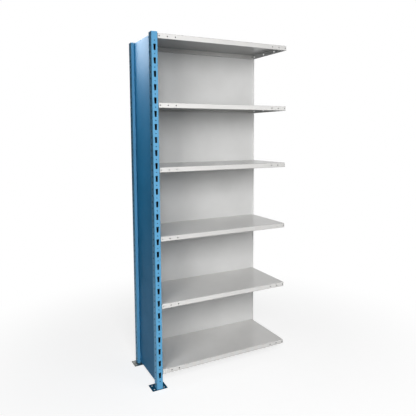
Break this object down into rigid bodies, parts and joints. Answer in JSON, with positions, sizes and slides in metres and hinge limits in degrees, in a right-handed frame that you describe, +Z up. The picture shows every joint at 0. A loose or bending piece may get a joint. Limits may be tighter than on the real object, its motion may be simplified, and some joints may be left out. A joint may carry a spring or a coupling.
{
  "type": "shelving unit",
  "caption": "Add-on bay of steel shelving: a slotted upright frame with a side panel at one end, flanged shelves on clips and a back panel, open at the other end",
  "frame": {"origin": "on the floor, under the middle of the bay's box", "axes": "+X right along the shelves, away from the upright frame; +Y from the front to the back panel; +Z up"},
  "size_m": [0.9894, 0.425, 2.162],
  "materials": {
    "blue_enamel": "baked semi-gloss blue enamel on roll-formed steel",
    "dark_blue_enamel": "baked dark blue enamel on flat steel",
    "light_grey_enamel": "baked satin light grey enamel on folded sheet steel",
    "zinc_plated_steel": "bright zinc plate"
  },
  "bodies": {
    "frame": {"front_post": "blue_enamel", "rear_post": "blue_enamel", "side_panel": "blue_enamel", "front_foot_plate": "dark_blue_enamel", "bottom_shelf": "light_grey_enamel", "top_shelf": "light_grey_enamel", "back_panel": "light_grey_enamel", "rear_foot_plate": "zinc_plated_steel", "side_panel_screws": "zinc_plated_steel", "back_panel_screws": "zinc_plated_steel", "back_flange_screws": "zinc_plated_steel", "foot_bolts": "zinc_plated_steel", "foot_nuts": "zinc_plated_steel", "bottom_shelf_screws": "zinc_plated_steel", "bottom_shelf_spacers": "zinc_plated_steel", "top_shelf_screws": "zinc_plated_steel", "top_shelf_spacers": "zinc_plated_steel", "second_shelf_front_clip": "zinc_plated_steel", "second_shelf_rear_clip": "zinc_plated_steel", "third_shelf_front_clip": "zinc_plated_steel", "third_shelf_rear_clip": "zinc_plated_steel", "fourth_shelf_front_clip": "zinc_plated_steel", "fourth_shelf_rear_clip": "zinc_plated_steel", "fifth_shelf_front_clip": "zinc_plated_steel", "fifth_shelf_rear_clip": "zinc_plated_steel"},
    "second_shelf": {"second_shelf": "light_grey_enamel"},
    "third_shelf": {"third_shelf": "light_grey_enamel"},
    "fourth_shelf": {"fourth_shelf": "light_grey_enamel"},
    "fifth_shelf": {"fifth_shelf": "light_grey_enamel"}
  },
  "joints": [
    {"name": "second_shelf_lift", "type": "slide", "parent": "frame", "child": "second_shelf", "axis": [0, 0, 1], "range_m": [0, 0.362]},
    {"name": "third_shelf_lift", "type": "slide", "parent": "frame", "child": "third_shelf", "axis": [0, 0, 1], "range_m": [0, 0.343]},
    {"name": "fourth_shelf_lift", "type": "slide", "parent": "frame", "child": "fourth_shelf", "axis": [0, 0, 1], "range_m": [0, 0.382]},
    {"name": "fifth_shelf_lift", "type": "slide", "parent": "frame", "child": "fifth_shelf", "axis": [0, 0, 1], "range_m": [0, 0.382]}
  ]
}
